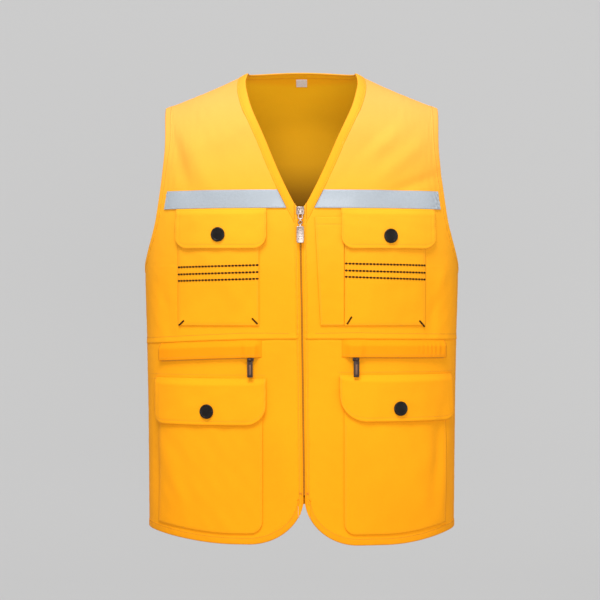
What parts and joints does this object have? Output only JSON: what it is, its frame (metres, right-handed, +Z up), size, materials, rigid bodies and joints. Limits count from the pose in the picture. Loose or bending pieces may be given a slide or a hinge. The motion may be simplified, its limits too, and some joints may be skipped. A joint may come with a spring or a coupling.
{
  "type": "utility work vest",
  "caption": "Sleeveless zip-front work vest with V neck, reflective chest tape, flap and zip pockets, standing in its worn shape.",
  "frame": {"origin": "midway between the two neck points, where the shoulder seams meet the neck band", "axes": "+Z up, -Y out of the zipped front, +X towards the wearer's left"},
  "size_m": [0.4474, 0.253, 0.6695],
  "materials": {
    "cloth": "plain cotton twill",
    "reflective": "satin reflective tape",
    "zip_cloth": "woven zip tape",
    "pale_metal": "worn nickel",
    "dark_metal": "gunmetal",
    "label": "plain woven tag"
  },
  "bodies": {
    "vest": {"back_panel": "cloth", "hem_band_back": "cloth", "neck_band_back": "cloth", "size_label": "label", "front_upper_right": "cloth", "front_lower_right": "cloth", "hem_band_right": "cloth", "placket_right": "cloth", "neck_band_right": "cloth", "armhole_band_front_right": "cloth", "armhole_band_back_right": "cloth", "chest_pocket_right": "cloth", "chest_flap_right": "cloth", "cargo_pocket_right": "cloth", "cargo_flap_right": "cloth", "zip_pocket_cover_right": "cloth", "zip_tape_right": "zip_cloth", "zip_pocket_chain_right": "zip_cloth", "reflective_tape_right": "reflective", "chest_snap_right": "dark_metal", "cargo_snap_right": "dark_metal", "zip_pocket_slider_right": "dark_metal", "front_upper_left": "cloth", "front_lower_left": "cloth", "hem_band_left": "cloth", "placket_left": "cloth", "neck_band_left": "cloth", "armhole_band_front_left": "cloth", "armhole_band_back_left": "cloth", "chest_pocket_left": "cloth", "chest_flap_left": "cloth", "cargo_pocket_left": "cloth", "cargo_flap_left": "cloth", "zip_pocket_cover_left": "cloth", "zip_tape_left": "zip_cloth", "zip_pocket_chain_left": "zip_cloth", "reflective_tape_left": "reflective", "chest_snap_left": "dark_metal", "cargo_snap_left": "dark_metal", "zip_pocket_slider_left": "dark_metal", "pen_pocket": "cloth", "zip_chain": "zip_cloth", "zip_slider": "pale_metal"},
    "front_pull": {"zip_pull": "pale_metal"},
    "right_pocket_pull": {"zip_pocket_pull_right": "dark_metal"},
    "left_pocket_pull": {"zip_pocket_pull_left": "dark_metal"}
  },
  "joints": [
    {"name": "front_pull_hinge", "type": "hinge", "parent": "vest", "child": "front_pull", "pos_m": [-0.0021, -0.12507, -0.19926], "axis": [-1, 0.0019, 0], "range_deg": [0, 170]},
    {"name": "right_pocket_pull_hinge", "type": "hinge", "parent": "vest", "child": "right_pocket_pull", "pos_m": [-0.07117, -0.11718, -0.40455], "axis": [-0.9905, 0.1377, 0], "range_deg": [0, 150]},
    {"name": "left_pocket_pull_hinge", "type": "hinge", "parent": "vest", "child": "left_pocket_pull", "pos_m": [0.07525, -0.11661, -0.40398], "axis": [-0.989, -0.1479, 0], "range_deg": [0, 150]}
  ]
}
